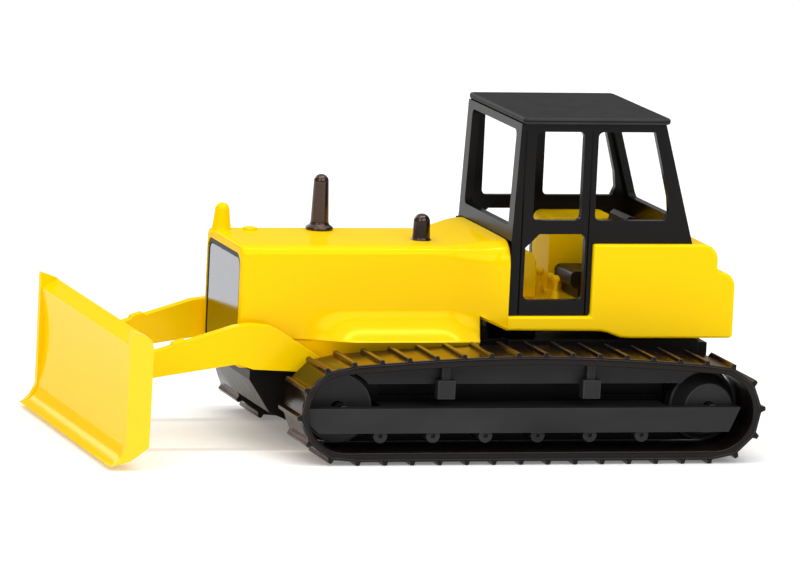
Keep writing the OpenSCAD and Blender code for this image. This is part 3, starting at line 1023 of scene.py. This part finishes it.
@dataclass
class TrackLoop:
    """The closed path of a track: two round ends, a flat lower run and a crowned upper run.

    Front and rear are the ends' centres along the vehicle, height is theirs above the ground,
    crown is how far the upper run rises, and reach is the path's nominal radius.
    """

    front: float
    rear: float
    height: float
    crown: float
    reach: float

    @property
    def run(self) -> float:
        """The distance between the ends' centres."""
        return self.front - self.rear

    @property
    def length(self) -> float:
        """The path's length at its nominal radius."""
        return 2 * (self.run + math.pi * self.reach)

    def point(self, along: float, radius: float) -> Vector:
        """A point on the path's plane.

        Args:
            along: The distance along the path, from under the rear end's centre.
            radius: The distance from the ends' centres.

        Returns:
            The point, at no Y.
        """
        along %= self.length
        curve = math.pi * self.reach
        if along < self.run:
            return Vector((self.rear + along, 0, self.height - radius))
        along -= self.run
        if along < curve:
            turn = along / self.reach - math.pi / 2
            return Vector((self.front + radius * math.cos(turn), 0,
                           self.height + radius * math.sin(turn)))
        along -= curve
        if along < self.run:
            lift = self.crown * math.sin(math.pi * along / self.run)
            return Vector((self.front - along, 0, self.height + radius + lift))
        turn = (along - self.run) / self.reach + math.pi / 2
        return Vector((self.rear + radius * math.cos(turn), 0,
                       self.height + radius * math.sin(turn)))


class PadTree(Nodes):
    """Geometry Nodes that lay a plate on each edge and a rib on each corner of a closed line."""

    SIZES = ("Plate Length", "Plate Width", "Plate Thickness", "Rib Foot", "Rib Tip", "Rib Height",
             "Rib Root")

    def __init__(self, name: str) -> None:
        """Builds the tree.

        Args:
            name: The tree's name.
        """
        self.tree = bpy.data.node_groups.new(name, "GeometryNodeTree")
        interface = self.tree.interface
        interface.new_socket("Line", in_out="INPUT", socket_type="NodeSocketGeometry")
        self.sockets = {size: interface.new_socket(size, in_out="INPUT",
                                                   socket_type="NodeSocketFloat")
                        for size in self.SIZES}
        self.sockets["Material"] = interface.new_socket(
            "Material", in_out="INPUT", socket_type="NodeSocketMaterial")
        interface.new_socket("Pads", in_out="OUTPUT", socket_type="NodeSocketGeometry")
        self.entry = self.node("NodeGroupInput", {}, {})
        self.finish()

    def math(self, operation: str, first: object, second: object) -> bpy.types.NodeSocket:
        """The result of one added Math node."""
        return self.node("ShaderNodeMath", {"operation": operation},
                         {0: first, 1: second}).outputs[0]

    def block(self, length: object, width: object, height: object, lift: object
              ) -> bpy.types.Node:
        """A box that is centred along and across, and lifted.

        Args:
            length: Its size along the track.
            width: Its size across the track.
            height: Its height.
            lift: The height of its middle.

        Returns:
            The node that moves it.
        """
        size = self.node("ShaderNodeCombineXYZ", {}, {0: length, 1: width, 2: height})
        box = self.node("GeometryNodeMeshCube", {}, {"Size": size.outputs[0]})
        offset = self.node("ShaderNodeCombineXYZ", {}, {2: lift})
        return self.node("GeometryNodeTransform", {}, {
            "Geometry": box.outputs["Mesh"], "Translation": offset.outputs[0]})

    def spread(self, mode: str, direction: str, shape: bpy.types.NodeSocket) -> bpy.types.Node:
        """Places a shape on every edge or corner of the line, turned to follow it.

        Args:
            mode: EDGES or VERTICES.
            direction: The attribute that holds the direction along the track.
            shape: The shape's geometry.

        Returns:
            The node that places it.
        """
        points = self.node("GeometryNodeMeshToPoints", {"mode": mode},
                           {"Mesh": self.entry.outputs["Line"]})
        along = self.node("GeometryNodeInputNamedAttribute", {"data_type": "FLOAT_VECTOR"},
                          {"Name": direction})
        turn = self.node("FunctionNodeAxesToRotation",
                         {"primary_axis": "X", "secondary_axis": "Y"},
                         {"Primary Axis": along.outputs[0], "Secondary Axis": (0, -1, 0)})
        return self.node("GeometryNodeInstanceOnPoints", {}, {
            "Points": points.outputs[0], "Instance": shape, "Rotation": turn.outputs[0]})

    def rib(self) -> bpy.types.Node:
        """A crosswise rib, narrower at its tip than at its foot.

        Returns:
            The node that shapes it.
        """
        size = self.entry.outputs
        height = self.math("ADD", size["Rib Height"], size["Rib Root"])
        lift = self.math("SUBTRACT", self.math("MULTIPLY", height, 0.5), size["Rib Root"])
        box = self.block(size["Rib Foot"], size["Plate Width"], height, lift)
        place = self.node("GeometryNodeInputPosition", {}, {})
        part = self.node("ShaderNodeSeparateXYZ", {}, {0: place.outputs[0]})
        share = self.node("ShaderNodeMapRange", {}, {
            "Value": part.outputs[2], "From Min": 0.0, "From Max": size["Rib Height"],
            "To Min": 1.0, "To Max": self.math("DIVIDE", size["Rib Tip"], size["Rib Foot"])})
        moved = self.node("ShaderNodeCombineXYZ", {}, {
            0: self.math("MULTIPLY", part.outputs[0], share.outputs[0]),
            1: part.outputs[1], 2: part.outputs[2]})
        return self.node("GeometryNodeSetPosition", {}, {
            "Geometry": box.outputs[0], "Position": moved.outputs[0]})

    def finish(self) -> None:
        """Joins the plates and the ribs into one real mesh with its material."""
        size = self.entry.outputs
        drop = self.math("MULTIPLY", size["Plate Thickness"], -0.5)
        plate = self.block(size["Plate Length"], size["Plate Width"], size["Plate Thickness"], drop)
        plates = self.spread("EDGES", "edge_along", plate.outputs[0])
        ribs = self.spread("VERTICES", "corner_along", self.rib().outputs[0])
        joined = self.node("GeometryNodeJoinGeometry", {}, {})
        for part in (plates, ribs):
            self.tree.links.new(part.outputs[0], joined.inputs[0])
        real = self.node("GeometryNodeRealizeInstances", {}, {0: joined.outputs[0]})
        dressed = self.node("GeometryNodeSetMaterial", {}, {
            "Geometry": real.outputs[0], "Material": size["Material"]})
        self.node("NodeGroupOutput", {}, {0: dressed.outputs[0]})

    def apply(self, line: bpy.types.Object, values: dict[str, object]) -> bpy.types.Object:
        """Runs the tree on a line and keeps the result as a plain mesh.

        Args:
            line: The object that holds the closed line.
            values: The tree's inputs, by name.

        Returns:
            The same object.
        """
        modifier = line.modifiers.new("pads", "NODES")
        modifier.node_group = self.tree
        for name, value in values.items():
            modifier[self.sockets[name].identifier] = value
        return frozen(line)


@dataclass
class Track(Assembly):
    """One side's running gear: band, pads, side frame, rollers, brackets and wheels."""

    side: Side = Side.LEFT
    pads: int = 38
    rib_height: float = 0.45 * MM
    rib_foot: float = 0.95 * MM
    rib_tip: float = 0.5 * MM
    plate: float = 0.34 * MM
    band: float = 1.15 * MM
    phase: float = 0.65 * MM
    inset: float = 0.14 * MM
    plate_share: float = 0.985
    root_share: float = 0.8
    least_gleam: float = 0.25
    band_steps: int = 5
    pad_edge: float = 0.09 * MM
    band_edge: float = 0.2 * MM
    frame_edge: float = 0.18 * MM
    roller_edge: float = 0.06 * MM
    bracket_edge: float = 0.14 * MM
    idler_edge: float = 0.22 * MM
    sprocket_edge: float = 0.2 * MM

    def __post_init__(self) -> None:
        """Works out the path from the wheels and the CAD track."""
        low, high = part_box(f"track_belt_{self.side.word}")
        centres = {wheel: sum(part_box(f"{wheel}_{self.side.word}"), Vector()) / 2
                   for wheel in ("idler", "sprocket")}
        height = centres["idler"].z
        self.outer_radius = height - self.rib_height
        self.low_y, self.high_y = low.y, high.y
        self.loop = TrackLoop(centres["idler"].x, centres["sprocket"].x, height,
                              high.z - 2 * height, self.outer_radius)

    @property
    def middle_y(self) -> float:
        """The track's middle across the vehicle."""
        return (self.low_y + self.high_y) / 2

    def pad_line(self) -> bpy.types.Object:
        """A closed line with a corner at each rib, which carries its own directions.

        Returns:
            The line.
        """
        pitch = self.loop.length / self.pads
        corners = [self.loop.point(self.phase + pitch * i, self.outer_radius)
                   for i in range(self.pads)]
        mesh = bpy.data.meshes.new(f"track_pads_{self.side.word}")
        mesh.from_pydata([(p.x, self.middle_y, p.z) for p in corners],
                         [(i, (i + 1) % self.pads) for i in range(self.pads)], [])
        steps = [(corners[(i + 1) % self.pads] - corners[i]).normalized()
                 for i in range(self.pads)]
        bends = [(steps[i] + steps[i - 1]).normalized() for i in range(self.pads)]
        for name, domain, values in (("edge_along", "EDGE", steps),
                                     ("corner_along", "POINT", bends)):
            data = mesh.attributes.new(name, "FLOAT_VECTOR", domain)
            data.data.foreach_set("vector", [c for v in values for c in v])
        return in_scene(mesh.name, mesh)

    def pad_set(self, tree: PadTree) -> bpy.types.Object:
        """The ribbed pads of the whole track.

        Args:
            tree: The tree that lays them.

        Returns:
            The pads.
        """
        pads = tree.apply(self.pad_line(), {
            "Plate Length": self.loop.length / self.pads * self.plate_share,
            "Plate Width": self.high_y - self.low_y, "Plate Thickness": self.plate,
            "Rib Foot": self.rib_foot, "Rib Tip": self.rib_tip, "Rib Height": self.rib_height,
            "Rib Root": self.plate * self.root_share, "Material": Finish.TRACK.material()})
        bm = bmesh.new()
        bm.from_mesh(pads.data)
        round_edges(bm, self.pad_edge, 2)
        bm.normal_update()
        matt = bm.faces.layers.float.new(MATT)
        for face in bm.faces:
            gleam = self.least_gleam + (1 - self.least_gleam) * max(face.normal.z, 0.0)
            face[matt] = 1.0 - gleam if abs(face.normal.y) < 0.5 else 1.0
        bm.to_mesh(pads.data)
        bm.free()
        return weighted(pads)

    def band_loop(self) -> bpy.types.Object:
        """The smooth band that carries the pads.

        Returns:
            The band.
        """
        half = (self.high_y - self.low_y) / 2 - self.inset
        outer = self.outer_radius - self.plate * 0.5
        inner = self.outer_radius - self.band
        middle = (outer + inner) / 2
        thick = (outer - inner) / 2
        outline = rounded_box((-half, -thick), (half, thick), self.band_edge, 3)
        bm = bmesh.new()
        steps = self.pads * self.band_steps
        rings = []
        for i in range(steps):
            along = self.loop.length * i / steps
            rings.append([bm.verts.new(self.loop.point(along, middle + r)
                                       + Vector((0, self.middle_y + y, 0)))
                          for y, r in outline])
        for i, ring in enumerate(rings):
            after = rings[(i + 1) % steps]
            for j in range(len(ring)):
                k = (j + 1) % len(ring)
                bm.faces.new((ring[j], ring[k], after[k], after[j]))
        bmesh.ops.recalc_face_normals(bm, faces=bm.faces)
        matt = bm.faces.layers.float.new(MATT)
        for face in bm.faces:
            face[matt] = 1.0
        return weighted(solid_object(f"track_band_{self.side.word}", bm), HARD_EDGE_ROUND)

    def build(self, tree: PadTree) -> None:
        """Builds and fits this side's pieces.

        Args:
            tree: The tree that lays the pads.
        """
        word = self.side.word
        belt = f"track_belt_{word}"
        self.fit(self.band_loop(), Finish.TRACK, Body.ROOT, belt)
        self.fit(self.pad_set(tree), Finish.TRACK, Body.ROOT, belt)
        self.rounded_copy(f"track_frame_{word}", self.frame_edge, Finish.FRAME)
        self.rounded_copy(f"track_rollers_{word}", self.roller_edge, Finish.FRAME, segments=2)
        self.rounded_copy(f"carrier_brackets_{word}", self.bracket_edge, Finish.FRAME)
        for wheel, edge in (("idler", self.idler_edge), ("sprocket", self.sprocket_edge)):
            node = f"{wheel}_{word}"
            self.rounded_copy(node, edge, Finish.WHEEL, Body[node.upper()])


# ---- studio -----------------------------------------------------------------


@dataclass(frozen=True)
class Softbox:
    """A soft rectangular light."""

    name: str
    place: Place
    width: float
    depth: float
    power: float
    target: Place = (0.0, 0.0, 0.02)

    def build(self) -> None:
        """Hangs the light."""
        data = bpy.data.lights.new(self.name, "AREA")
        data.shape = "RECTANGLE"
        data.size, data.size_y, data.energy = self.width, self.depth, self.power
        lamp = in_scene(self.name, data)
        lamp.location = self.place
        aim = Vector(self.target) - Vector(self.place)
        lamp.rotation_euler = aim.to_track_quat("-Z", "Y").to_euler()


@dataclass(frozen=True)
class Studio:
    """The pale floor, the soft light and the camera.

    The camera aims at a point that is aim_right to its right of the origin, and aim_up above it.
    """

    azimuth: float = 163.0
    elevation: float = 8.8
    roll: float = 2.7
    distance: float = 1.0
    lens: float = 359.0
    aim_right: float = 0.17 * MM
    aim_up: float = 19.58 * MM
    floor_size: float = 3.0
    floor_shade: float = 0.88
    floor_glow: float = 0.2
    sky_strength: float = 0.32
    lamps: tuple[Softbox, ...] = (
        Softbox("ceiling", (0.0, -0.15, 0.95), 1.8, 1.7, 8.4),
        Softbox("strip", (0.0, 0.12, 0.8), 0.9, 0.05, 2.1),
        Softbox("front_left", (0.6, 0.55, 0.45), 0.4, 0.5, 1.4),
        Softbox("near_fill", (-0.2, 0.75, 0.55), 0.9, 0.5, 3.0),
        Softbox("far_card", (0.3, -0.7, 0.3), 0.4, 0.25, 0.9))

    def floor(self) -> None:
        """Lays a plain pale floor."""
        bm = bmesh.new()
        bmesh.ops.create_grid(bm, x_segments=1, y_segments=1, size=self.floor_size)
        floor = solid_object("floor", bm)
        graph = Graph("floor_white")
        floor.data.materials.append(graph.finish({
            "Base Color": (*[self.floor_shade] * 3, 1.0), "Roughness": 0.9,
            "Specular IOR Level": 0.1, "Emission Color": (1.0, 1.0, 1.0, 1.0),
            "Emission Strength": self.floor_glow}))

    def light(self) -> None:
        """Sets the sky and hangs the softboxes."""
        world = bpy.data.worlds.new("studio")
        world.use_nodes = True
        sky = world.node_tree.nodes["Background"]
        sky.inputs[0].default_value = (1.0, 1.0, 1.0, 1.0)
        sky.inputs[1].default_value = self.sky_strength
        bpy.context.scene.world = world
        for lamp in self.lamps:
            lamp.build()

    def camera(self) -> None:
        """Sets the camera, turned a little about its own axis."""
        a, e = math.radians(self.azimuth), math.radians(self.elevation)
        back = Vector((math.sin(a) * math.cos(e), -math.cos(a) * math.cos(e), math.sin(e)))
        data = bpy.data.cameras.new("camera")
        data.lens = self.lens
        data.clip_start, data.clip_end = 0.01, 20.0
        camera = in_scene("camera", data)
        right = Vector((math.cos(a), math.sin(a), 0.0))
        aim = right * self.aim_right + Vector((0.0, 0.0, self.aim_up))
        turn = (-back).to_track_quat("-Z", "Y").to_matrix()
        turn = turn @ Matrix.Rotation(math.radians(self.roll), 3, "Z")
        camera.matrix_world = Matrix.Translation(aim + back * self.distance) @ turn.to_4x4()
        bpy.context.scene.camera = camera

    def build(self) -> None:
        """Sets up the studio."""
        self.floor()
        self.light()
        self.camera()
        bpy.context.scene.view_settings.view_transform = "Standard"


def main() -> None:
    """Builds the toy, piece by piece, and the studio round it."""
    logging.basicConfig(level=logging.INFO, format="%(name)s: %(message)s")
    tree = PadTree("ribbed_pads")
    Studio().build()
    Hood().build()
    HoodFittings().build()
    Cab().build()
    Blade().build()
    Chassis().build()
    for side in Side:
        Track(side=side).build(tree)


if __name__ == "__main__":
    main()
